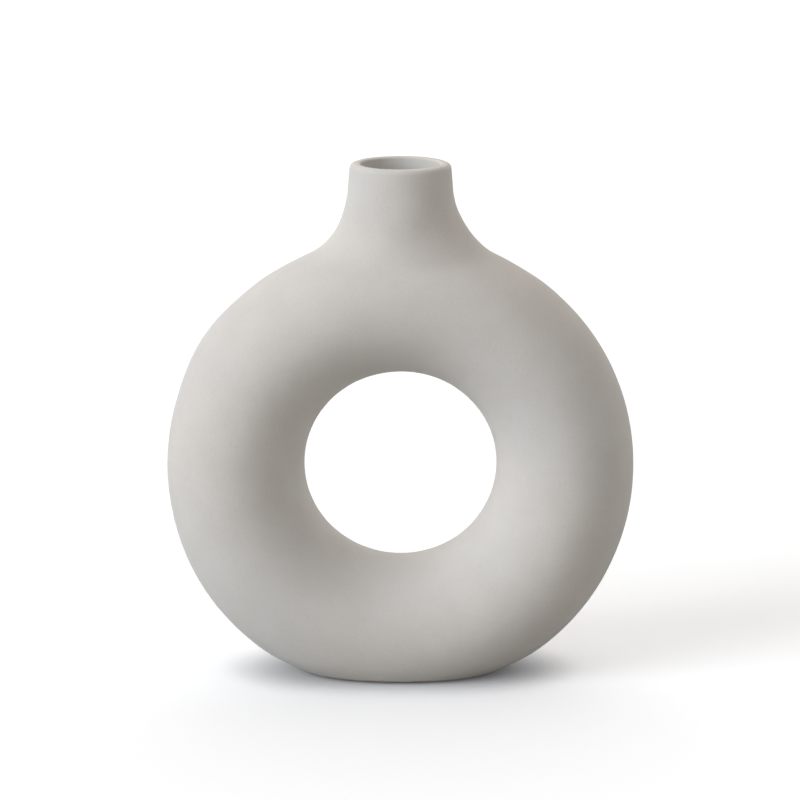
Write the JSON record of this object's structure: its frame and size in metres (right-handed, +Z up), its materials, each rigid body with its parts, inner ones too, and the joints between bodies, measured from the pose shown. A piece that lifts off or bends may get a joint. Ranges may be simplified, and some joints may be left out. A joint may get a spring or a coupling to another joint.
{
  "type": "ring vase",
  "caption": "Matte stoneware vase shaped as an upright hollow ring, with a short flared neck and a flat foot, for dried or fresh stems.",
  "frame": {"origin": "on the table, under the middle of the vase, level with the undersides of the felt pads", "axes": "+Z up, +X across the ring to the right as seen from the front, +Y through the ring's hole from front to back"},
  "size_m": [0.19, 0.065, 0.21],
  "materials": {
    "fired_clay": "matte unglazed off-white stoneware",
    "lining_glaze": "satin clear glaze over the clay",
    "felt": "pressed felt"
  },
  "bodies": {
    "root": {"front_half_shell": "fired_clay", "back_half_shell": "fired_clay", "neck_collar": "fired_clay", "inner_glaze": "lining_glaze", "foot_pads": "felt"}
  },
  "joints": []
}
